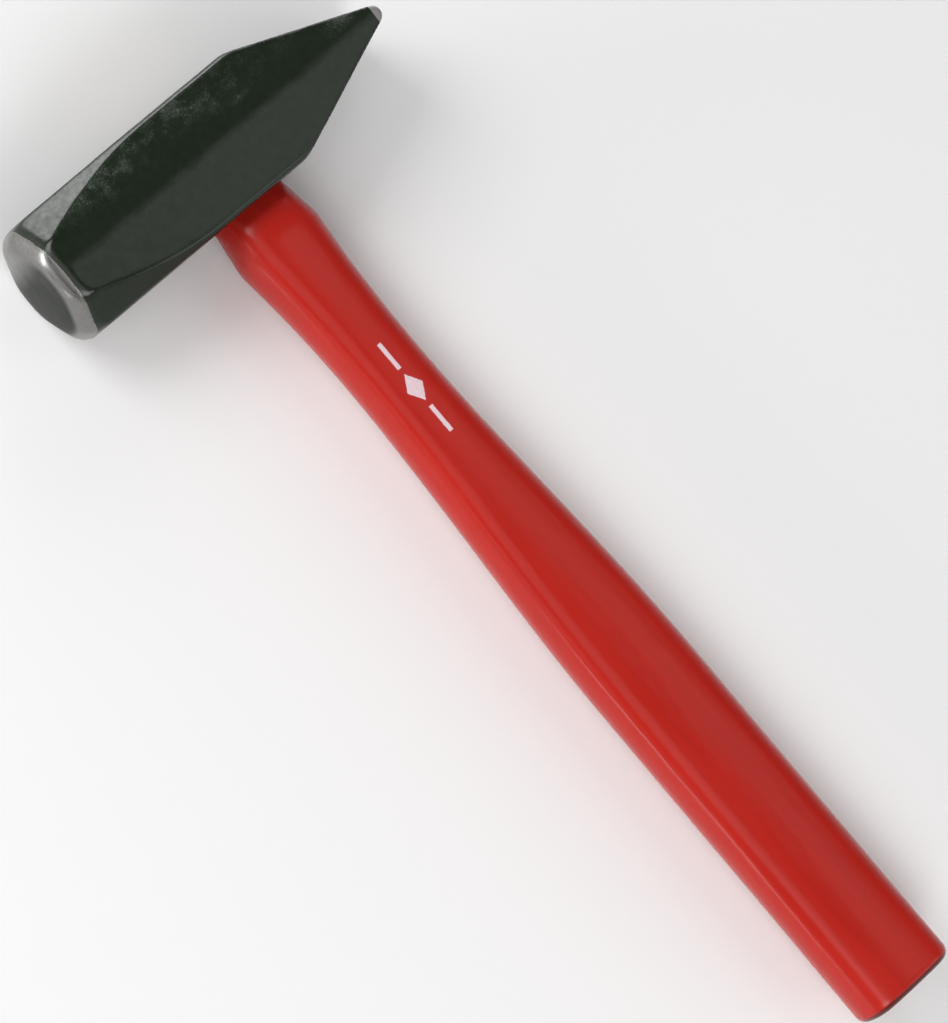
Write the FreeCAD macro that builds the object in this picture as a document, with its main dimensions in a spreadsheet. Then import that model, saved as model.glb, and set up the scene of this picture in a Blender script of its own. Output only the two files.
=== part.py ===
import FreeCAD, Part
import math
import os
import Sketcher

# Blacksmith's cross peen hammer, lying on one cheek. X runs down the handle from the
# head to the butt, Y runs along the head from the striking face (-Y) to the peen (+Y)
# and Z points up from the floor. Each piece is drawn around the centre of the eye and
# then lifted by half the thickness of the head.

document = FreeCAD.newDocument("cross_peen_hammer")
dims = document.addObject("Spreadsheet::Sheet", "dims")

# Driving dimensions, millimetres and degrees.
DIMENSIONS = (
    ("head_length", 156.6),
    ("head_height", 46.9),
    ("head_thickness", 45.0),
    ("face_to_eye", 79.3),
    ("parting_land", 3.0),
    ("cheek_draft", 2.0),
    ("edge_chamfer", 1.6),
    ("poll_chamfer", 12.2),
    ("poll_taper_length", 36.0),
    ("poll_runout_radius", 230.0),
    ("face_bevel", 5.4),
    ("face_bevel_reach", 5.0),
    ("face_crown_radius", 220.0),
    ("peen_half_angle", 20.9),
    ("peen_nose_radius", 3.5),
    ("peen_blend_radius", 13.0),
    ("eye_length", 31.0),
    ("eye_breadth", 21.4),
    ("eye_waist_squeeze", 0.9),
    ("eye_top_flare", 2.4),
    ("resin_gap", 0.35),
    ("resin_gap_top", 0.9),
    ("handle_length", 359.3),
    ("shoulder_width", 35.0),
    ("shoulder_depth", 29.0),
    ("shoulder_drop", 16.5),
    ("neck_width", 28.9),
    ("neck_depth", 25.6),
    ("neck_drop", 72.0),
    ("swell_width", 40.3),
    ("swell_depth", 28.0),
    ("swell_drop", 215.0),
    ("butt_width", 40.7),
    ("butt_depth", 28.4),
    ("butt_round", 3.5),
    ("wood_wedge_top", 5.6),
    ("wood_wedge_tip", 1.2),
    ("wood_wedge_depth", 28.0),
    ("steel_wedge_width", 15.0),
    ("steel_wedge_top", 3.4),
    ("steel_wedge_depth", 17.0),
    ("steel_wedge_spacing", 13.0),
)

for row, (name, value) in enumerate(DIMENSIONS, start=1):
    dims.set("A%d" % row, name)
    dims.set("B%d" % row, str(value))
    dims.setAlias("B%d" % row, name)
document.recompute()

# Positions along X, Y and Z that several pieces share.
HEAD_TOP = "(-dims.head_height / 2)"
HEAD_BOTTOM = "(dims.head_height / 2)"
FACE = "(-dims.face_to_eye)"
PEEN_TIP = "(dims.head_length - dims.face_to_eye)"
EYE_WAIST = "(dims.head_height / 6)"
HALF_THICKNESS = "(dims.head_thickness / 2)"
EDGE_Z = "(dims.head_thickness / 2 - dims.cheek_draft)"
WEDGE_FOOT = "(dims.wood_wedge_depth - dims.head_height / 2)"
OUTSIDE = "(2 * dims.head_thickness)"


def number(formula):
    """The plain number that a formula of sheet names comes to."""
    found = dims.evalExpression(formula)
    return float(getattr(found, "Value", found))


def bind(sketch, constraint, formula):
    """Add one sketch constraint whose size is a formula."""
    index = sketch.addConstraint(constraint)
    sketch.setExpression("Constraints[%d]" % index, formula)


def fix_point(sketch, geometry, point, along, across):
    """Hold one sketch point at formulas for its two coordinates."""
    for kind, formula in (("DistanceX", along), ("DistanceY", across)):
        held = Sketcher.Constraint(kind, -1, 1, geometry, point, number(formula))
        bind(sketch, held, formula)


def new_body(label):
    """An empty body, lifted so that the hammer rests on Z = 0."""
    body = document.addObject("PartDesign::Body", label)
    body.Label = label
    body.setExpression("Placement.Base.z", HALF_THICKNESS)
    return body


def new_sketch(body, name, plane, offset="0", turn=None):
    """An empty sketch on one of the body's own origin planes."""
    sketch = body.newObject("Sketcher::SketchObject", name)
    support = [item for item in body.Origin.OriginFeatures if item.Role == plane]
    sketch.AttachmentSupport = [(support[0], "")]
    sketch.MapMode = "FlatFace"
    if turn is not None:
        turned = FreeCAD.Rotation(FreeCAD.Vector(1, 0, 0), turn)
        sketch.AttachmentOffset = FreeCAD.Placement(FreeCAD.Vector(), turned)
    sketch.setExpression("AttachmentOffset.Base.z", offset)
    return sketch


def add_line(sketch, start, end):
    first = FreeCAD.Vector(start[0], start[1], 0)
    last = FreeCAD.Vector(end[0], end[1], 0)
    return sketch.addGeometry(Part.LineSegment(first, last), False)


def add_arc(sketch, centre, radius, start_angle, end_angle):
    middle = FreeCAD.Vector(centre[0], centre[1], 0)
    circle = Part.Circle(middle, FreeCAD.Vector(0, 0, 1), radius)
    return sketch.addGeometry(Part.ArcOfCircle(circle, start_angle, end_angle), False)


def rounded_corner(before, corner, after, radius):
    """Tangent points, centre and turning sense of an arc that rounds a corner."""
    inward = FreeCAD.Vector(before[0] - corner[0], before[1] - corner[1], 0).normalize()
    outward = FreeCAD.Vector(after[0] - corner[0], after[1] - corner[1], 0).normalize()
    half = inward.getAngle(outward) / 2
    reach = radius / math.tan(half)
    at = FreeCAD.Vector(corner[0], corner[1], 0)
    middle = at + (inward + outward).normalize() * (radius / math.sin(half))
    left_turn = (inward.cross(outward)).z < 0
    return at + inward * reach, at + outward * reach, middle, left_turn


def outline(sketch, corners):
    """A closed outline. Each corner is two formulas and, if rounded, a radius formula."""
    spots = [(number(corner[0]), number(corner[1])) for corner in corners]
    count = len(corners)
    arcs = {}
    for index, corner in enumerate(corners):
        if len(corner) == 3:
            neighbours = (spots[index - 1], spots[index], spots[(index + 1) % count])
            arcs[index] = rounded_corner(*neighbours, number(corner[2]))
    lines = []
    for index in range(count):
        following = (index + 1) % count
        start = arcs[index][1] if index in arcs else spots[index]
        end = arcs[following][0] if following in arcs else spots[following]
        lines.append(add_line(sketch, start, end))
    for index, corner in enumerate(corners):
        before, after = lines[index - 1], lines[index]
        if index not in arcs:
            sketch.addConstraint(Sketcher.Constraint("Coincident", before, 2, after, 1))
            fix_point(sketch, after, 1, corner[0], corner[1])
            continue
        first, last, middle, left_turn = arcs[index]
        angles = [math.atan2(end.y - middle.y, end.x - middle.x) for end in (first, last)]
        if not left_turn:
            angles.reverse()
        arc = add_arc(sketch, middle, number(corner[2]), *angles)
        entry, leave = (1, 2) if left_turn else (2, 1)
        sketch.addConstraint(Sketcher.Constraint("Tangent", before, 2, arc, entry))
        sketch.addConstraint(Sketcher.Constraint("Tangent", arc, leave, after, 1))
        bind(sketch, Sketcher.Constraint("Radius", arc, number(corner[2])), corner[2])
        where = FreeCAD.Vector(spots[index][0], spots[index][1], 0)
        apex = sketch.addGeometry(Part.Point(where), True)
        sketch.addConstraint(Sketcher.Constraint("PointOnObject", apex, 1, before))
        sketch.addConstraint(Sketcher.Constraint("PointOnObject", apex, 1, after))
        fix_point(sketch, apex, 1, corner[0], corner[1])


def oval(body, name, offset, width, depth):
    """A cross section of the handle or the eye: a flat-sided oval made of eight arcs."""
    sketch = new_sketch(body, name, "YZ_Plane", offset)
    side_radius = "(1.6 * %s)" % width
    end_radius = "(0.62 * %s)" % depth
    corner_radius = "(0.34 * %s)" % depth
    side_centre = "(%s / 2 - %s)" % (depth, side_radius)
    end_centre = "(%s / 2 - %s)" % (width, end_radius)

    # The corner arc touches a side arc and an end arc from the inside.
    side_y, side_r = number(side_centre), number(side_radius)
    end_x, end_r, corner_r = number(end_centre), number(end_radius), number(corner_radius)
    apart = math.hypot(end_x, side_y)
    reach_side, reach_end = side_r - corner_r, end_r - corner_r
    along = (reach_side ** 2 - reach_end ** 2 + apart ** 2) / (2 * apart)
    away = math.sqrt(reach_side ** 2 - along ** 2)
    toward = (end_x / apart, -side_y / apart)
    corner = (toward[0] * along - toward[1] * away, side_y + toward[1] * along + toward[0] * away)
    if corner[0] < 0 or corner[1] < 0:
        corner = (toward[0] * along + toward[1] * away, side_y + toward[1] * along - toward[0] * away)
    end_turn = math.atan2(corner[1], corner[0] - end_x)
    side_turn = math.atan2(corner[1] - side_y, corner[0])

    quarter = math.pi / 2
    arcs = []
    for step in range(4):
        sideways = step % 2 == 0
        spread = end_turn if sideways else quarter - side_turn
        after = end_turn if not sideways else quarter - side_turn
        facing = step * quarter
        shift = end_x if sideways else side_y
        centre = (shift * math.cos(facing), shift * math.sin(facing))
        radius = end_r if sideways else side_r
        arcs.append(add_arc(sketch, centre, radius, facing - spread, facing + spread))
        flip_x = 1 if step in (0, 3) else -1
        flip_y = 1 if step in (0, 1) else -1
        bend = (corner[0] * flip_x, corner[1] * flip_y)
        arcs.append(add_arc(sketch, bend, corner_r, facing + spread, facing + quarter - after))
    for index, arc in enumerate(arcs):
        following = arcs[(index + 1) % 8]
        sketch.addConstraint(Sketcher.Constraint("Tangent", arc, 2, following, 1))
        if index % 2 == 1:
            bind(sketch, Sketcher.Constraint("Radius", arc, corner_r), corner_radius)
    centres = (end_centre, side_centre, "-" + end_centre, "-" + side_centre)
    for step, centre in enumerate(centres):
        arc = arcs[2 * step]
        sideways = step % 2 == 0
        radius = end_radius if sideways else side_radius
        bind(sketch, Sketcher.Constraint("Radius", arc, number(radius)), radius)
        spot = (centre, "0") if sideways else ("0", centre)
        fix_point(sketch, arc, 3, *spot)
    return sketch


def extrude(body, kind, name, sketch, length):
    """A pad or pocket that reaches the same distance both sides of its sketch."""
    feature = body.newObject("PartDesign::" + kind, name)
    feature.Profile = sketch
    feature.SideType = "Symmetric"
    feature.setExpression("Length", length)
    return feature


def loft(body, kind, name, sections, ruled):
    """A solid through cross sections, added to the body or taken from it."""
    feature = body.newObject("PartDesign::" + kind, name)
    feature.Profile = sections[0]
    feature.Sections = sections[1:]
    feature.Ruled = ruled
    return feature


def eye_stack(body, kind, name, gap, gap_top, stop_at_waist=False):
    """The double-tapered eye, or the part of it that lies a gap inside its wall."""
    stations = [
        (HEAD_TOP, "dims.eye_top_flare", gap_top),
        (EYE_WAIST, "-dims.eye_waist_squeeze", gap),
    ]
    if not stop_at_waist:
        stations.append((HEAD_BOTTOM, "0", gap))
    sections = []
    for index, (offset, growth, inset) in enumerate(stations):
        change = "%s - 2 * %s" % (growth, inset)
        width = "(dims.eye_length + %s)" % change
        depth = "(dims.eye_breadth + %s)" % change
        sections.append(oval(body, "%s_section_%d" % (name, index), offset, width, depth))
    return loft(body, kind, name, sections, ruled=True)


def steel_wedge_outline(sketch, middle):
    """Side view of a barbed steel wedge: three steps that narrow down to a blunt tip."""
    left, right = [], []
    for step in range(3):
        for ends, fraction in ((step, 1.0 - 0.28 * step), (step + 1, 0.62 - 0.28 * step)):
            along = "(%s + dims.steel_wedge_depth * %d / 3)" % (HEAD_TOP, ends)
            half = "dims.steel_wedge_top / 2 * %.2f" % max(fraction, 0.14)
            left.append((along, "(%s - %s)" % (middle, half)))
            right.append((along, "(%s + %s)" % (middle, half)))
    outline(sketch, left + right[::-1])


def cut_steel_wedge_slots(body):
    """Slots that the two steel wedges have driven into the wood."""
    sketch = new_sketch(body, "steel_wedge_slots", "XY_Plane")
    for side in ("-", ""):
        steel_wedge_outline(sketch, "(%s(dims.steel_wedge_spacing / 2))" % side)
    extrude(body, "Pocket", "steel_wedge_pocket", sketch, "dims.steel_wedge_width")


def round_corners_of_head(body):
    """Chamfers along the four long edges that widen toward the face into an octagon."""
    diagonal = "((dims.head_height / 2 + %s) / sqrt(2))" % EDGE_Z
    shallow = "(%s - dims.edge_chamfer / sqrt(2))" % diagonal
    slope = "((dims.poll_chamfer - dims.edge_chamfer) / sqrt(2) / dims.poll_taper_length)"
    ring = "(%s + dims.face_bevel)" % FACE
    runout = "(%s + dims.poll_taper_length)" % ring
    ahead = "(%s - dims.poll_taper_length)" % ring
    ahead_depth = "(%s - 2 * dims.poll_taper_length * %s)" % (shallow, slope)
    for turn in (45, -45):
        sketch = new_sketch(body, "corner_sketch", "YZ_Plane", "0", turn)
        for side in ("", "-"):
            corners = [
                (ahead, "%s%s" % (side, ahead_depth)),
                (runout, "%s%s" % (side, shallow), "dims.poll_runout_radius"),
                ("dims.head_length", "%s%s" % (side, shallow)),
                ("dims.head_length", "%s%s" % (side, OUTSIDE)),
                (ahead, "%s%s" % (side, OUTSIDE)),
            ]
            outline(sketch, corners)
        extrude(body, "Pocket", "corner_chamfers", sketch, OUTSIDE)


def draft_cheeks(body):
    """Slope both halves of each cheek away from the flat land at the parting line."""
    sketch = new_sketch(body, "cheek_draft_sketch", "XZ_Plane")
    slope = "(dims.cheek_draft / (dims.head_height / 2 - dims.parting_land / 2))"
    beyond = "(dims.head_height)"
    fallen = "(%s - %s * (%s - dims.parting_land / 2))" % (HALF_THICKNESS, slope, beyond)
    for side in ("", "-"):
        for end in ("", "-"):
            corners = [
                ("%s(dims.parting_land / 2)" % end, "%s%s" % (side, HALF_THICKNESS)),
                ("%s%s" % (end, beyond), "%s%s" % (side, fallen)),
                ("%s%s" % (end, beyond), "%s%s" % (side, HALF_THICKNESS)),
            ]
            outline(sketch, corners)
    extrude(body, "Pocket", "cheek_draft", sketch, "4 * dims.head_length")


def crown_face(body):
    """Turn the front of the face to a shallow dome."""
    sketch = new_sketch(body, "face_crown_sketch", "XY_Plane")
    radius = number("dims.face_crown_radius")
    face = number(FACE)
    reach = number("dims.head_height")
    front = number("%s - dims.face_bevel" % FACE)
    swing = math.asin(reach / radius)
    edge = face + radius * (1 - math.cos(swing))
    arc = add_arc(sketch, (0, face + radius), radius, -math.pi / 2, swing - math.pi / 2)
    rim = add_line(sketch, (reach, edge), (reach, front))
    base = add_line(sketch, (reach, front), (0, front))
    axis = add_line(sketch, (0, front), (0, face))
    chain = ((arc, 2, rim, 1), (rim, 2, base, 1), (base, 2, axis, 1), (axis, 2, arc, 1))
    for joint in chain:
        sketch.addConstraint(Sketcher.Constraint("Coincident", *joint))
    fix_point(sketch, arc, 3, "0", "(%s + dims.face_crown_radius)" % FACE)
    bind(sketch, Sketcher.Constraint("Radius", arc, radius), "dims.face_crown_radius")
    bind(sketch, Sketcher.Constraint("DistanceX", -1, 1, arc, 1, 0), "0")
    fix_point(sketch, base, 1, "dims.head_height", "(%s - dims.face_bevel)" % FACE)
    fix_point(sketch, axis, 1, "0", "(%s - dims.face_bevel)" % FACE)
    bind(sketch, Sketcher.Constraint("DistanceX", -1, 1, arc, 2, reach), "dims.head_height")
    groove = body.newObject("PartDesign::Groove", "face_crown")
    groove.Profile = sketch
    groove.ReferenceAxis = (sketch, ["V_Axis"])
    groove.Angle = 360


def face_toward(feature, direction):
    """Name of the flat face of a feature that lies furthest in a direction."""
    best, reach = "", -math.inf
    for index, face in enumerate(feature.Shape.Faces, start=1):
        lies = face.CenterOfMass.dot(direction)
        if face.Surface.TypeId == "Part::GeomPlane" and lies > reach:
            best, reach = "Face%d" % index, lies
    return best


def make_head():
    """Forged steel head: octagonal poll, drafted cheeks, cross peen and tapered eye."""
    body = new_body("head")
    sketch = new_sketch(body, "profile_sketch", "XY_Plane")
    angle = "(dims.peen_half_angle * 1 deg)"
    apex = "(%s - dims.peen_nose_radius + dims.peen_nose_radius / sin(%s))" % (PEEN_TIP, angle)
    wedge_start = "(%s - dims.head_height / 2 / tan(%s))" % (apex, angle)
    outline(sketch, [
        (HEAD_BOTTOM, FACE),
        (HEAD_BOTTOM, wedge_start, "dims.peen_blend_radius"),
        ("0", apex, "dims.peen_nose_radius"),
        (HEAD_TOP, wedge_start, "dims.peen_blend_radius"),
        (HEAD_TOP, FACE),
    ])
    extrude(body, "Pad", "profile", sketch, "dims.head_thickness")
    draft_cheeks(body)
    round_corners_of_head(body)
    document.recompute()
    bevelled = body.Tip
    bevel = body.newObject("PartDesign::Chamfer", "face_bevel")
    bevel.Base = (bevelled, [face_toward(bevelled, FreeCAD.Vector(0, -1, 0))])
    bevel.ChamferType = "Two distances"
    bevel.setExpression("Size", "dims.face_bevel_reach")
    bevel.setExpression("Size2", "dims.face_bevel")
    crown_face(body)
    eye_stack(body, "SubtractiveLoft", "eye", "0", "0")
    return body


def steady(place):
    """A change at one rate."""
    return place


def ease_out(place):
    """Most of a change comes early."""
    return 1 - (1 - place) ** 2.1


def ease_in(place):
    """Most of a change comes late."""
    return place ** 2


def ease_both(place):
    """A change that starts and ends gently."""
    return place ** 2 * (3 - 2 * place)


def between(start, end, place, first, last, shares):
    """A section between two named ones, part way along and part way in width and depth."""
    drop = "(%s + %.3f * (%s - %s))" % (start, place, end, start)
    changes = zip(shares, first, last)
    sizes = ["(%s + %.3f * (%s - %s))" % (a, share, b, a) for share, a, b in changes]
    return (drop, sizes[0], sizes[1])


def grip_loft(body, name, stages, last_section):
    """One smooth stretch of the handle, through sections at the steps of its stages."""
    stations = []
    for start, end, first, last, steps, easings in stages:
        for step in range(steps):
            place = step / steps
            shares = [easing(place) for easing in easings]
            stations.append(between(start, end, place, first, last, shares))
    stations.append(last_section)
    sections = []
    for index, (drop, wide, deep) in enumerate(stations):
        offset = "(%s + %s)" % (HEAD_BOTTOM, drop)
        sections.append(oval(body, "%s_section_%d" % (name, index), offset, wide, deep))
    return loft(body, "AdditiveLoft", name, sections, ruled=False)


def make_handle():
    """Hickory handle: wedged tongue in the eye, shoulder, slim neck and swelling grip."""
    body = new_body("handle")
    eye_stack(body, "AdditiveLoft", "tongue", "dims.resin_gap", "dims.resin_gap_top")
    throat = [
        "(dims.eye_length - 2 * dims.resin_gap)",
        "(dims.eye_breadth - 2 * dims.resin_gap)",
    ]
    shoulder = ("dims.shoulder_width", "dims.shoulder_depth")
    neck = ("dims.neck_width", "dims.neck_depth")
    swell = ("dims.swell_width", "dims.swell_depth")
    butt = ("dims.butt_width", "dims.butt_depth")
    flare = [("0", "dims.shoulder_drop", throat, shoulder, 4, (steady, ease_out))]
    grip_loft(body, "flare", flare, ("dims.shoulder_drop",) + shoulder)
    grip = [
        ("dims.shoulder_drop", "dims.neck_drop", shoulder, neck, 8, (ease_out, ease_out)),
        ("dims.neck_drop", "dims.swell_drop", neck, swell, 10, (ease_both, ease_both)),
        ("dims.swell_drop", "dims.handle_length", swell, butt, 8, (ease_in, ease_in)),
    ]
    grip_loft(body, "grip", grip, ("dims.handle_length",) + butt)
    document.recompute()
    grip_feature = body.Tip
    rounding = body.newObject("PartDesign::Fillet", "butt_rounding")
    rounding.Base = (grip_feature, [face_toward(grip_feature, FreeCAD.Vector(1, 0, 0))])
    rounding.setExpression("Radius", "dims.butt_round")
    kerf = new_sketch(body, "kerf_sketch", "XZ_Plane")
    outline(kerf, [
        (HEAD_TOP, "(dims.wood_wedge_top / 2)"),
        (WEDGE_FOOT, "(dims.wood_wedge_tip / 2)"),
        (WEDGE_FOOT, "(-dims.wood_wedge_tip / 2)"),
        (HEAD_TOP, "(-dims.wood_wedge_top / 2)"),
    ])
    extrude(body, "Pocket", "kerf", kerf, "2 * dims.eye_length")
    cut_steel_wedge_slots(body)
    return body


def make_wood_wedge():
    """Hardwood wedge that spreads the tongue along the whole length of the eye."""
    body = new_body("wood_wedge")
    gaps = ("dims.resin_gap", "dims.resin_gap_top")
    eye_stack(body, "AdditiveLoft", "blank", *gaps, stop_at_waist=True)
    sketch = new_sketch(body, "flanks_sketch", "XZ_Plane")
    outline(sketch, [
        (HEAD_TOP, "(dims.wood_wedge_top / 2)"),
        (WEDGE_FOOT, "(dims.wood_wedge_tip / 2)"),
        (WEDGE_FOOT, "(-dims.wood_wedge_tip / 2)"),
        (HEAD_TOP, "(-dims.wood_wedge_top / 2)"),
        (HEAD_TOP, "-" + OUTSIDE),
        (HEAD_BOTTOM, "-" + OUTSIDE),
        (HEAD_BOTTOM, OUTSIDE),
        (HEAD_TOP, OUTSIDE),
    ])
    extrude(body, "Pocket", "flanks", sketch, "2 * dims.eye_length")
    cut_steel_wedge_slots(body)
    return body


def make_steel_wedge(label, side):
    """One barbed steel wedge, driven across the wood wedge."""
    body = new_body(label)
    sketch = new_sketch(body, "wedge_sketch", "XY_Plane")
    steel_wedge_outline(sketch, "(%s(dims.steel_wedge_spacing / 2))" % side)
    extrude(body, "Pad", "wedge", sketch, "dims.steel_wedge_width")
    return body


def make_eye_resin():
    """Resin sleeve that fills the gap between the tongue and the wall of the eye."""
    body = new_body("eye_resin")
    eye_stack(body, "AdditiveLoft", "filling", "0", "0")
    eye_stack(body, "SubtractiveLoft", "tongue_space", "dims.resin_gap", "dims.resin_gap_top")
    return body


pieces = [
    make_head(),
    make_handle(),
    make_wood_wedge(),
    make_steel_wedge("steel_wedge_front", "-"),
    make_steel_wedge("steel_wedge_rear", ""),
    make_eye_resin(),
]
document.recompute()

for item in document.Objects:
    if "Invalid" in item.State or "Error" in item.State:
        raise RuntimeError("%s did not build" % item.Label)
os.makedirs("parts", exist_ok=True)
for piece in pieces:
    if piece.Shape.isNull() or not piece.Shape.isValid():
        raise RuntimeError("%s is not a valid solid" % piece.Label)
    piece.Shape.exportStep("parts/%s.step" % piece.Label)
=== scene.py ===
import bpy
import bmesh
import math
import numpy as np
from mathutils import Matrix, Quaternion, Vector, noise


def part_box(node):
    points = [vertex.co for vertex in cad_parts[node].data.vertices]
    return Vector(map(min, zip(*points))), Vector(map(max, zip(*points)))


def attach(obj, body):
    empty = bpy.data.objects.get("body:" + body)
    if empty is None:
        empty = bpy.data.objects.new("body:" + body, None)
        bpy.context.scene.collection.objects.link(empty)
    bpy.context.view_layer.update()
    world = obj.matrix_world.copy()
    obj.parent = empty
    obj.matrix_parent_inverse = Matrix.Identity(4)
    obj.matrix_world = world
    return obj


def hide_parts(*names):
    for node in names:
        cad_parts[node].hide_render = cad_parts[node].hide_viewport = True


# Looks of a blacksmith's cross peen hammer: black-green enamel over forged steel, bare
# ground steel at the face and along the peen's edge, and a red lacquered handle.
# Lengths are in metres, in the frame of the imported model: X down the handle, Y from the
# striking face to the peen, Z up. Heights and stations are read from the model.

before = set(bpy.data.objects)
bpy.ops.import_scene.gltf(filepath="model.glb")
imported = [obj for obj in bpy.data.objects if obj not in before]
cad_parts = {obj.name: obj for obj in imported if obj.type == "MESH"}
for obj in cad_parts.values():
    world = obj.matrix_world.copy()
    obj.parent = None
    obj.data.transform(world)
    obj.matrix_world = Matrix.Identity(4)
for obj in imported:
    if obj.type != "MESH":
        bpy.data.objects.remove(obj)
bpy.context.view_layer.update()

head_low, head_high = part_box("head")
handle_low, handle_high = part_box("handle")
MIDDLE_Z = (head_low.z + head_high.z) / 2
HEAD_TOP = head_low.x
HEAD_BOTTOM = head_high.x
BUTT = handle_high.x
FACE = head_low.y
PEEN_TIP = head_high.y

MM = 0.001
RING_DEPTH = 5.6 * MM       # bare steel behind the plane of the striking face
RING_FADE = 0.05 * MM
NOSE_BARE = 3.2 * MM        # bare steel behind the peen's tip
NOSE_FADE = 0.15 * MM
SHOULDER = HEAD_BOTTOM + 16.5 * MM
MARK_AT = HEAD_BOTTOM + 85.0 * MM

SHADED_END = 1.9 * MM       # painted shade on the butt's rounded end, where it turns from the light
SUNK_FULL = 0.35 * MM       # how deep a fully rubbed edge has sunk

HEAD_VOXEL, HEAD_VOXEL_QUICK = 0.62 * MM, 0.90 * MM
HANDLE_VOXEL, HANDLE_VOXEL_QUICK = 0.80 * MM, 1.00 * MM


# ---------------------------------------------------------------- shader helpers

class Shader:
    """A material's node tree with short calls for the nodes used here."""

    def __init__(self, name):
        self.material = bpy.data.materials.new(name)
        self.material.use_nodes = True
        self.tree = self.material.node_tree
        self.surface = self.tree.nodes["Principled BSDF"]
        coordinates = self.node("ShaderNodeTexCoord")
        self.place = coordinates.outputs["Object"]
        self.normal = coordinates.outputs["Normal"]

    def node(self, kind, **settings):
        made = self.tree.nodes.new(kind)
        for key, value in settings.items():
            setattr(made, key, value)
        return made

    def feed(self, socket, value):
        if isinstance(value, bpy.types.NodeSocket):
            self.tree.links.new(value, socket)
        else:
            socket.default_value = value

    def set(self, **values):
        for key, value in values.items():
            self.feed(self.surface.inputs[key.replace("_", " ")], value)

    def math(self, operation, *values):
        made = self.node("ShaderNodeMath", operation=operation)
        for socket, value in zip(made.inputs, values):
            self.feed(socket, value)
        return made.outputs[0]

    def plus(self, first, second):
        return self.math("ADD", first, second)

    def minus(self, first, second):
        return self.math("SUBTRACT", first, second)

    def times(self, first, second):
        return self.math("MULTIPLY", first, second)

    def larger(self, first, second):
        return self.math("MAXIMUM", first, second)

    def distance(self, first, second):
        squares = self.plus(self.times(first, first), self.times(second, second))
        return self.math("SQRT", squares)

    def part(self, vector, name):
        split = self.node("ShaderNodeSeparateXYZ")
        self.feed(split.inputs[0], vector)
        return split.outputs[name]

    def axis(self, name):
        """Place along an axis of the model."""
        return self.part(self.place, name)

    def facing(self, name):
        """How squarely the surface faces along an axis, either way."""
        return self.math("ABSOLUTE", self.part(self.normal, name))

    def stretched(self, scale):
        mapping = self.node("ShaderNodeMapping")
        self.feed(mapping.inputs["Vector"], self.place)
        mapping.inputs["Scale"].default_value = scale
        return mapping.outputs[0]

    def noise(self, scale, detail=3.0, roughness=0.5, vector=None):
        made = self.node("ShaderNodeTexNoise")
        self.feed(made.inputs["Vector"], vector or self.place)
        made.inputs["Scale"].default_value = scale
        made.inputs["Detail"].default_value = detail
        made.inputs["Roughness"].default_value = roughness
        return made.outputs["Fac"]

    def band(self, value, low, high, start=0.0, end=1.0):
        """Map low..high of a value smoothly to start..end, clamped."""
        made = self.node("ShaderNodeMapRange", interpolation_type="SMOOTHSTEP")
        for socket, item in zip(made.inputs, (value, low, high, start, end)):
            self.feed(socket, item)
        return made.outputs[0]

    def mix(self, share, first, second):
        """Colour between first and second."""
        made = self.node("ShaderNodeMix", data_type="RGBA")
        self.feed(made.inputs["Factor"], share)
        self.feed(made.inputs[6], first)
        self.feed(made.inputs[7], second)
        return made.outputs[2]

    def blend(self, share, first, second):
        """Plain number between first and second."""
        made = self.node("ShaderNodeMix", data_type="FLOAT")
        self.feed(made.inputs["Factor"], share)
        self.feed(made.inputs[2], first)
        self.feed(made.inputs[3], second)
        return made.outputs[0]

    def turn(self, share, first, second):
        """Direction between first and second."""
        made = self.node("ShaderNodeMix", data_type="VECTOR")
        self.feed(made.inputs["Factor"], share)
        self.feed(made.inputs[4], first)
        self.feed(made.inputs[5], second)
        return made.outputs[1]

    def bump(self, height, distance, strength, under=None):
        made = self.node("ShaderNodeBump")
        made.inputs["Distance"].default_value = distance
        self.feed(made.inputs["Strength"], strength)
        self.feed(made.inputs["Height"], height)
        if under is not None:
            self.feed(made.inputs["Normal"], under)
        return made.outputs[0]


def rgb(red, green, blue):
    return (red, green, blue, 1.0)


# ---------------------------------------------------------------- the head's material

# Place along the head, place across it and reach of each patch of painted glints: pale
# flecks that stand for the enamel catching the light. They lie on the side toward the top
# of the head.
GLINT_PATCHES = (
    (-40 * MM, -20 * MM, 34 * MM),
    (-5 * MM, -21 * MM, 30 * MM),
    (14 * MM, -11 * MM, 13 * MM),
    (62 * MM, -7 * MM, 13 * MM),
)
PATCH_SLIMNESS = 2.4        # how much shorter a patch is across the head than along it

ENAMEL_DARK = rgb(0.0065, 0.0130, 0.0055)
ENAMEL_PALE = rgb(0.0100, 0.0175, 0.0085)
# Pale enamel for rubbed edges, which are wear, and for painted glints, the light flecks.
ENAMEL_WORN_AND_GLINT = rgb(0.115, 0.140, 0.115)

# Each steel runs from the first colour to the second along its grinding streaks.
# The face's two steels are shaded and lit copies: painted reflection, dark in the middle of
# the face, lighter at the rim and toward the top.
FACE_SHADED = rgb(0.026, 0.030, 0.025), rgb(0.042, 0.046, 0.040)
FACE_LIT = rgb(0.22, 0.216, 0.207), rgb(0.32, 0.313, 0.30)
RING_STEEL = rgb(0.21, 0.207, 0.198), rgb(0.27, 0.265, 0.255)
NOSE_STEEL = rgb(0.36, 0.35, 0.335), rgb(0.50, 0.485, 0.465)


def bare_steel(s, y):
    """Where the enamel ends raggedly: behind the face's ring, and at the peen's edge."""
    ragged = s.times(s.minus(s.noise(260.0, 4.0), 0.5), 0.9 * MM)
    line = s.plus(y, ragged)
    ring_end = FACE + RING_DEPTH
    nose_start = PEEN_TIP - NOSE_BARE
    at_face = s.band(line, ring_end - RING_FADE, ring_end + RING_FADE, 1.0, 0.0)
    at_nose = s.band(line, nose_start - NOSE_FADE, nose_start + NOSE_FADE)
    return s.larger(at_face, at_nose), at_nose


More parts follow.
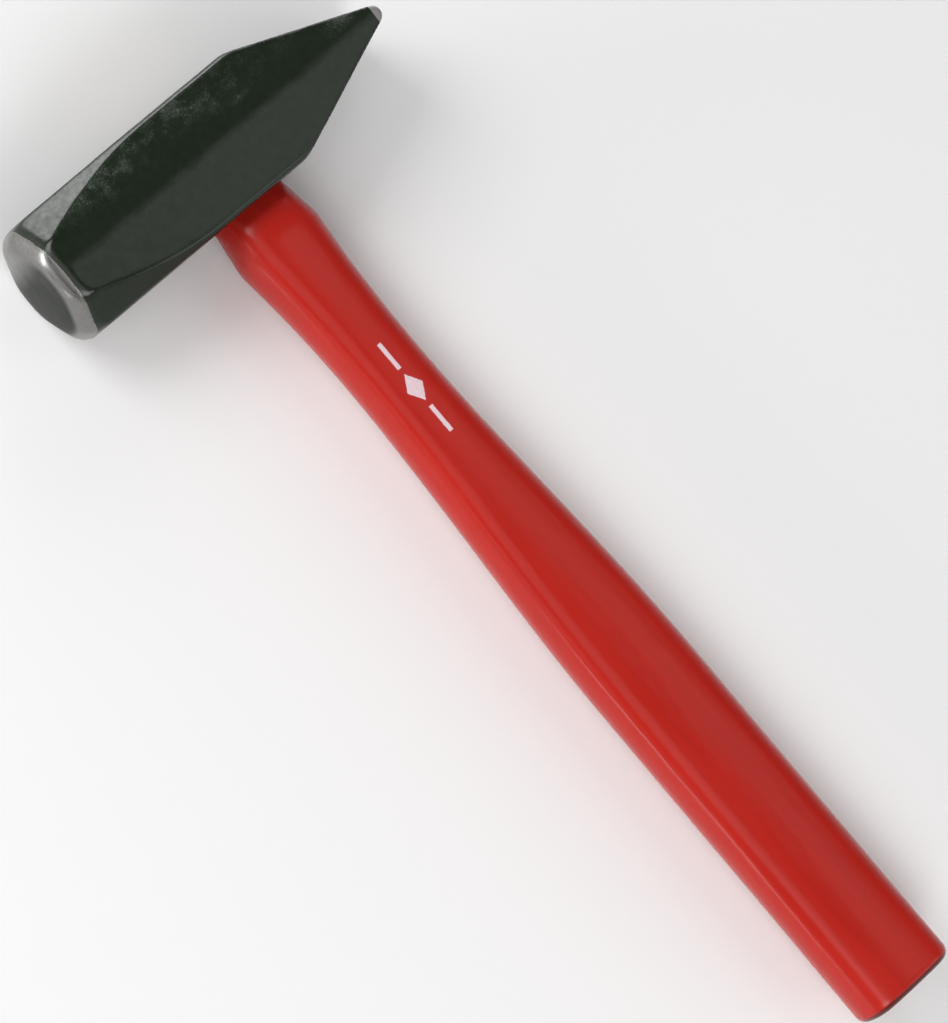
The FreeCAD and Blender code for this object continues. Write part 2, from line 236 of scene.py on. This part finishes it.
def glint_patches(s, x, y):
    """Where pale flecks are painted as glints: patches and a faint scatter toward the top,
    on the broad flat sides.
    """
    near = 0.0
    for along, across, reach in GLINT_PATCHES:
        dy = s.times(s.minus(y, along), 1 / reach)
        dx = s.times(s.minus(x, across), PATCH_SLIMNESS / reach)
        near = s.larger(near, s.band(s.distance(dy, dx), 0.25, 1.0, 1.0, 0.0))
    scatter = s.band(x, -4 * MM, -21 * MM, 0.0, 0.35)
    squarely = s.larger(s.facing("X"), s.facing("Z"))
    return s.times(s.larger(near, scatter), s.band(squarely, 0.85, 0.95, 0.15, 1.0))


def wear_and_painted_glints(s, x, y, glint_share):
    """Painted glints, pale flecks where the enamel catches the light, and rubbed edges that
    are real wear, fewer at the bottom.
    """
    patchy = s.band(s.noise(150.0, 5.0, 0.7), 0.44, 0.62)
    specks = s.band(s.noise(1500.0, 3.0, 0.7), 0.52, 0.62)
    hazy = s.band(specks, 0.0, 1.0, 0.22, 0.9)
    # Painted highlight: pale flecks standing for enamel that catches the light.
    painted_glints = s.times(glint_share, s.times(hazy, patchy))
    edge = s.node("ShaderNodeAttribute", attribute_name="edge").outputs["Fac"]
    broken = s.band(s.noise(420.0, 4.0, 0.7), 0.42, 0.60)
    rubbed = s.times(s.band(edge, 0.40, 0.95), broken)
    rubbed = s.times(rubbed, s.band(x, 4 * MM, -10 * MM, 0.10, 1.0))
    rubbed = s.times(rubbed, s.band(y, FACE + 10 * MM, FACE + 14 * MM, 0.12, 1.0))
    return s.larger(s.times(painted_glints, 0.75), s.times(rubbed, 0.55))


def ground_steel(s, x, y, streak, at_nose):
    """Colour of the bare steel, with painted reflection on the face, and where the face is
    painted dark in the middle.
    """
    cloudy = s.times(s.noise(90.0, 4.0, 0.6), 6 * MM)
    aside = s.minus(s.axis("Z"), MIDDLE_Z)
    from_middle = s.plus(s.distance(s.minus(x, 4 * MM), aside), cloudy)
    # Painted reflection: the face lighter at its rim and toward the top, dark in the
    # middle.
    rim_sheen = s.band(from_middle, 12 * MM, 28 * MM, 0.0, 0.28)
    top_sheen = s.band(s.plus(x, cloudy), 1 * MM, -13 * MM)
    painted_sheen = s.larger(rim_sheen, top_sheen)
    on_ring = s.band(y, FACE + 0.7 * MM, FACE + 1.6 * MM)
    face = s.mix(painted_sheen, s.mix(streak, *FACE_SHADED), s.mix(streak, *FACE_LIT))
    rest = s.mix(at_nose, s.mix(streak, *RING_STEEL), s.mix(streak, *NOSE_STEEL))
    dark_rough_middle = s.times(s.minus(1.0, painted_sheen), s.minus(1.0, on_ring))
    return s.mix(on_ring, face, rest), dark_rough_middle


def head_material():
    s = Shader("forged_head_paint")
    x = s.axis("X")
    y = s.axis("Y")
    bare, at_nose = bare_steel(s, y)
    glint_share = glint_patches(s, x, y)
    worn = wear_and_painted_glints(s, x, y, glint_share)
    drift = s.noise(60.0)
    enamel = s.mix(drift, ENAMEL_DARK, ENAMEL_PALE)
    # Rubbed-edge wear and painted glints lighten the enamel.
    enamel = s.mix(worn, enamel, ENAMEL_WORN_AND_GLINT)
    streak = s.noise(1.0, 4.0, 0.6, s.stretched((120.0, 1100.0, 1100.0)))
    steel, dark_rough_middle = ground_steel(s, x, y, streak, at_nose)
    s.set(Base_Color=s.mix(bare, enamel, steel))
    s.set(Metallic=bare)
    s.set(Specular_IOR_Level=0.5)

    grain = s.noise(420.0, 4.0, 0.6)
    enamel_rough = s.plus(s.band(grain, 0.3, 0.7, 0.17, 0.26), s.times(worn, 0.35))
    steel_rough = s.plus(s.band(streak, 0.3, 0.7, 0.24, 0.34), s.times(at_nose, 0.22))
    # The painted dark middle of the face is also rougher.
    steel_rough = s.plus(steel_rough, s.times(dark_rough_middle, 0.20))
    s.set(Roughness=s.blend(bare, enamel_rough, steel_rough))

    peel = s.bump(s.noise(210.0), 0.06 * MM, 0.5)
    pitted = s.plus(s.times(glint_share, 0.8), 0.05)
    peel = s.bump(s.noise(900.0, 4.0, 0.7), 0.16 * MM, pitted, peel)
    ground = s.bump(streak, 0.006 * MM, 0.5)
    s.set(Normal=s.turn(bare, peel, ground))
    return s.material


# ---------------------------------------------------------------- the handle's material

LACQUER_DEEP = rgb(0.44, 0.0138, 0.0075)
LACQUER_BRIGHT = rgb(0.495, 0.0172, 0.010)
LACQUER_GRAIN = rgb(0.33, 0.011, 0.009)
# Painted shade: dark red-brown where the butt's rounded end turns away from the light.
BUTT_SHADE = rgb(0.10, 0.008, 0.007)
PRINT_PALE = rgb(0.80, 0.62, 0.66)
END_GRAIN = rgb(0.30, 0.17, 0.075), rgb(0.52, 0.34, 0.17)


def printed_mark(s, x):
    """A small printed ornament on the near side: a diamond between two bars."""
    along = s.math("ABSOLUTE", s.minus(x, MARK_AT))
    across = s.math("ABSOLUTE", s.axis("Y"))
    fray = s.times(s.minus(s.noise(1800.0), 0.5), 0.5 * MM)
    slant = s.plus(s.plus(s.times(along, 0.62), across), fray)
    diamond = s.band(slant, 3.5 * MM, 3.8 * MM, 1.0, 0.0)
    thick = s.band(s.plus(across, fray), 0.7 * MM, 0.95 * MM, 1.0, 0.0)
    inner = s.band(along, 8.2 * MM, 8.4 * MM)
    outer = s.band(along, 19.6 * MM, 19.8 * MM, 1.0, 0.0)
    bars = s.times(thick, s.times(inner, outer))
    near_side = s.math("GREATER_THAN", s.axis("Z"), MIDDLE_Z)
    worn = s.band(s.noise(1500.0, 3.0, 0.6), 0.30, 0.42, 0.55, 1.0)
    return s.times(s.times(s.larger(diamond, bars), near_side), worn)


def handle_material():
    s = Shader("handle_red_lacquer")
    x = s.axis("X")
    grain = s.noise(1.0, 5.0, 0.6, s.stretched((14.0, 260.0, 260.0)))
    cloud = s.noise(22.0)
    colour = s.mix(cloud, LACQUER_DEEP, LACQUER_BRIGHT)
    colour = s.mix(s.band(grain, 0.35, 0.75, 0.0, 0.32), colour, LACQUER_GRAIN)
    colour = s.mix(printed_mark(s, x), colour, PRINT_PALE)
    # Painted shade: the last millimetres of the butt darkened, with a ragged start.
    uneven = s.plus(x, s.times(s.minus(cloud, 0.5), 1.2 * MM))
    shaded_butt = s.band(uneven, BUTT - SHADED_END - 0.5 * MM, BUTT - SHADED_END + 0.5 * MM)
    colour = s.mix(shaded_butt, colour, BUTT_SHADE)
    bare_tip = s.band(x, HEAD_TOP + 0.35 * MM, HEAD_TOP + 0.6 * MM, 1.0, 0.0)
    rings = s.noise(1.0, 4.0, 0.55, s.stretched((40.0, 900.0, 260.0)))
    s.set(Base_Color=s.mix(bare_tip, colour, s.mix(rings, *END_GRAIN)))
    s.set(Roughness=s.blend(bare_tip, s.band(cloud, 0.3, 0.7, 0.21, 0.27), 0.62))
    s.set(Specular_IOR_Level=0.32)
    ripple = s.noise(1.0, 3.0, 0.5, s.stretched((60.0, 220.0, 220.0)))
    s.set(Normal=s.bump(grain, 0.03 * MM, 0.6, s.bump(ripple, 0.16 * MM, 0.4)))
    return s.material


# ---------------------------------------------------------------- the other materials

def wedge_wood_material():
    s = Shader("wedge_bare_hardwood")
    rings = s.noise(1.0, 5.0, 0.6, s.stretched((70.0, 120.0, 1100.0)))
    s.set(Base_Color=s.mix(rings, rgb(0.34, 0.20, 0.09), rgb(0.58, 0.40, 0.22)))
    s.set(Roughness=s.band(rings, 0.3, 0.7, 0.55, 0.75))
    s.set(Normal=s.bump(rings, 0.06 * MM, 0.7))
    return s.material


def wedge_steel_material():
    s = Shader("wedge_plain_steel")
    wear = s.noise(500.0, 5.0, 0.65)
    s.set(Base_Color=s.mix(wear, rgb(0.20, 0.19, 0.18), rgb(0.48, 0.47, 0.45)))
    s.set(Metallic=1.0)
    s.set(Roughness=s.band(wear, 0.3, 0.7, 0.32, 0.55))
    s.set(Normal=s.bump(wear, 0.05 * MM, 0.6))
    return s.material


def resin_material():
    s = Shader("eye_dark_resin")
    cloud = s.noise(320.0, 4.0)
    s.set(Base_Color=s.mix(cloud, rgb(0.045, 0.022, 0.010), rgb(0.11, 0.06, 0.028)))
    s.set(Roughness=s.band(cloud, 0.3, 0.7, 0.16, 0.34))
    s.set(Normal=s.bump(cloud, 0.1 * MM, 0.5))
    return s.material


def floor_material():
    s = Shader("studio_floor")
    s.set(Base_Color=rgb(0.93, 0.93, 0.93))
    s.set(Roughness=0.9)
    return s.material


def wear_only(piece, material):
    piece.data.materials.clear()
    piece.data.materials.append(material)


# ---------------------------------------------------------------- meshes

def remeshed(node, name, voxel):
    """A fine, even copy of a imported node."""
    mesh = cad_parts[node].data.copy()
    work = bmesh.new()
    work.from_mesh(mesh)
    bmesh.ops.remove_doubles(work, verts=work.verts, dist=1e-6)
    work.to_mesh(mesh)
    work.free()
    blank = bpy.data.objects.new(name + "_blank", mesh)
    bpy.context.scene.collection.objects.link(blank)
    remesh = blank.modifiers.new("even", "REMESH")
    remesh.mode = "VOXEL"
    remesh.voxel_size = voxel
    seen = blank.evaluated_get(bpy.context.evaluated_depsgraph_get())
    fine = bpy.data.meshes.new_from_object(seen)
    bpy.data.objects.remove(blank)
    bpy.data.meshes.remove(mesh)
    fine.name = name
    fine.polygons.foreach_set("use_smooth", [True] * len(fine.polygons))
    piece = bpy.data.objects.new(name, fine)
    bpy.context.scene.collection.objects.link(piece)
    return piece


def vertex_places(mesh):
    place = np.empty(len(mesh.vertices) * 3)
    mesh.vertices.foreach_get("co", place)
    return place.reshape(-1, 3)


def vertex_normals(mesh):
    return np.array([vertex.normal for vertex in mesh.vertices])


def soften(piece, rounds, weight):
    """Round the sharp edges, most where the weight of a place is high.

    Keeps how far each vertex sank in the attribute edge, as a share of SUNK_FULL.
    """
    mesh = piece.data
    place = vertex_places(mesh)
    start = place.copy()
    ends = np.empty(len(mesh.edges) * 2, dtype=np.int64)
    mesh.edges.foreach_get("vertices", ends)
    one, other = ends.reshape(-1, 2).T
    both, partner = np.concatenate([one, other]), np.concatenate([other, one])
    count = np.maximum(np.bincount(both, minlength=len(place)), 1)
    share = weight(start)
    for step in range(rounds):
        total = [np.bincount(both, place[partner, axis], len(place)) for axis in range(3)]
        middle = np.stack(total, axis=1) / count[:, None]
        moving = 0.5 * np.clip(share * rounds - step, 0.0, 1.0)
        place += (middle - place) * moving[:, None]
    mesh.vertices.foreach_set("co", place.ravel())
    mesh.update()
    sunk = ((start - place) * vertex_normals(mesh)).sum(axis=1) / SUNK_FULL
    layer = mesh.attributes.new("edge", "FLOAT", "POINT")
    layer.data.foreach_set("value", np.clip(sunk, 0.0, 1.0))


def head_weight(places):
    """Full rounding on the ground ring, a little on the forged edges behind it."""
    before = (FACE + 10 * MM - places[:, 1]) / (4 * MM)
    return 0.035 + 0.965 * np.clip(before, 0, 1)


def handle_weight(places):
    """Full rounding over the shoulder, a little elsewhere."""
    away = np.abs(places[:, 0] - SHOULDER) / (6 * MM)
    return 0.1 + 0.9 * np.clip(2 - away, 0, 1)


def roll_surface(piece, height):
    """Move every vertex along its normal by a height worked out from its position."""
    mesh = piece.data
    place = vertex_places(mesh)
    rise = np.array([height(Vector(p)) for p in place])
    moved = place + vertex_normals(mesh) * rise[:, None]
    mesh.vertices.foreach_set("co", moved.ravel())
    mesh.update()


def forged_height(place):
    """Die-forged skin: broad hollows and finer ones, fading out on the ground steel."""
    broad = noise.noise(place * 55.0) * 0.10
    medium = noise.noise(place * 160.0) * 0.05
    behind_ring = (place.y - FACE - RING_DEPTH) / (2 * MM)
    return (broad + medium) * MM * min(max(behind_ring, 0.0), 1.0)


def sanded_height(place):
    """Hand-sanded wood: long shallow flats along the handle."""
    long_way = Vector((place.x * 22.0, place.y * 130.0, place.z * 130.0))
    return noise.noise(long_way) * 0.10 * MM


head = remeshed("head", "forged_head", HEAD_VOXEL)
soften(head, 80, head_weight)
roll_surface(head, forged_height)
wear_only(head, head_material())
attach(head, "root")
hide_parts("head")

handle = remeshed("handle", "lacquered_handle", HANDLE_VOXEL)
soften(handle, 24, handle_weight)
roll_surface(handle, sanded_height)
wear_only(handle, handle_material())
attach(handle, "root")
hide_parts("handle")

wear_only(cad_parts["wood_wedge"], wedge_wood_material())
wedge_steel = wedge_steel_material()
wear_only(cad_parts["steel_wedge_front"], wedge_steel)
wear_only(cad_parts["steel_wedge_rear"], wedge_steel)
wear_only(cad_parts["eye_resin"], resin_material())


# ---------------------------------------------------------------- floor, light, camera

FLOOR_REACH = 6.0
FLOOR_DROP = 0.2 * MM       # keeps the floor clear of the resting cheek

# Camera: where it stands, its compass heading and dip in degrees, and how the handle's
# direction turns from the picture's right. The lens suits the 36 mm picture height.
CAMERA_AT = Vector((0.03056, -0.72781, 2.08762))
CAMERA_HEADING = 80.156
CAMERA_DIP = 70.531
HANDLE_TURN = -49.844
CAMERA_LENS = 220.16

# Soft panels: name, place, width, height, radiance and the point each one faces.
MIDDLE = (0.1, 0.0, 0.02)
SOFTBOXES = (
    ("left_wall", (-0.66, 0.19, 0.065), 0.6, 0.12, 6.5, (0.0, -0.05, 0.03)),
    ("ring_light", (-0.70, -1.20, 0.26), 0.7, 0.4, 8.0, MIDDLE),
    ("ring_fill", (0.0, -1.25, 0.52), 0.7, 0.3, 0.8, MIDDLE),
    ("top_fill", (0.2, -0.8, 1.7), 1.6, 1.2, 0.8, MIDDLE),
    ("key_left", (-1.15, -0.62, 1.18), 0.9, 0.9, 5.4, MIDDLE),
    ("key_right", (1.20, -0.75, 1.25), 0.9, 0.9, 4.8, MIDDLE),
    ("right_wall", (1.6, 0.7, 0.9), 1.2, 0.9, 1.2, MIDDLE),
    ("back_left", (-1.3, 1.3, 0.9), 1.0, 0.9, 2.0, MIDDLE),
    ("ceiling_head", (0.10, 0.37, 1.0), 0.24, 0.46, 0.78, (0.10, 0.37, 0.0)),
    ("ceiling_handle", (0.50, 0.49, 1.0), 0.56, 0.42, 0.74, (0.50, 0.49, 0.0)),
    ("front_low", (0.43, -1.6, 0.05), 0.30, 0.05, 20.0, (0.43, 0.0, 0.03)),
)

# The room is brighter low down than overhead: height of a direction, then strength.
ROOM_LOW = 0.10, 0.50
ROOM_HIGH = 0.40, 0.12


def make_floor():
    mesh = bpy.data.meshes.new("floor")
    far = FLOOR_REACH
    corners = [(-far, -far, 0), (far, -far, 0), (far, far, 0), (-far, far, 0)]
    mesh.from_pydata(corners, [], [(0, 1, 2, 3)])
    mesh.materials.append(floor_material())
    piece = bpy.data.objects.new("floor", mesh)
    bpy.context.scene.collection.objects.link(piece)
    piece.location.z = -FLOOR_DROP


def make_softbox(name, place, width, height, radiance, aim):
    """A soft panel of even brightness that faces a point and isn't itself in view."""
    lamp = bpy.data.lights.new(name, "AREA")
    lamp.shape = "RECTANGLE"
    lamp.size = width
    lamp.size_y = height
    lamp.energy = radiance * math.pi * width * height
    holder = bpy.data.objects.new(name, lamp)
    bpy.context.scene.collection.objects.link(holder)
    holder.location = place
    holder.visible_camera = False
    holder.rotation_mode = "QUATERNION"
    holder.rotation_quaternion = (Vector(aim) - Vector(place)).to_track_quat("-Z", "Y")


def make_camera():
    data = bpy.data.cameras.new("camera")
    data.sensor_fit = "VERTICAL"
    data.sensor_height = 36.0
    data.lens = CAMERA_LENS
    data.clip_end = 30.0
    heading, dip = math.radians(CAMERA_HEADING), math.radians(CAMERA_DIP)
    level = math.cos(dip)
    forward = Vector((level * math.cos(heading), level * math.sin(heading), -math.sin(dip)))
    handle_way = (Vector((1, 0, 0)) - forward * forward.x).normalized()
    right = Quaternion(forward, math.radians(HANDLE_TURN)) @ handle_way
    up = right.cross(forward)
    turn = Matrix((right, up, -forward)).transposed()
    holder = bpy.data.objects.new("camera", data)
    bpy.context.scene.collection.objects.link(holder)
    holder.matrix_world = Matrix.Translation(CAMERA_AT) @ turn.to_4x4()
    bpy.context.scene.camera = holder


def make_room():
    """Soft light from all round, fading with height."""
    world = bpy.data.worlds.new("studio")
    world.use_nodes = True
    nodes, links = world.node_tree.nodes, world.node_tree.links
    backdrop = nodes["Background"]
    backdrop.inputs["Color"].default_value = (1, 1, 1, 1)
    direction = nodes.new("ShaderNodeTexCoord")
    split = nodes.new("ShaderNodeSeparateXYZ")
    fade = nodes.new("ShaderNodeMapRange")
    fade.inputs["From Min"].default_value, fade.inputs["To Min"].default_value = ROOM_LOW
    fade.inputs["From Max"].default_value, fade.inputs["To Max"].default_value = ROOM_HIGH
    links.new(direction.outputs["Generated"], split.inputs[0])
    links.new(split.outputs["Z"], fade.inputs["Value"])
    links.new(fade.outputs[0], backdrop.inputs["Strength"])
    bpy.context.scene.world = world


make_floor()
make_camera()
for panel in SOFTBOXES:
    make_softbox(*panel)
make_room()
bpy.context.scene.view_settings.view_transform = "Standard"
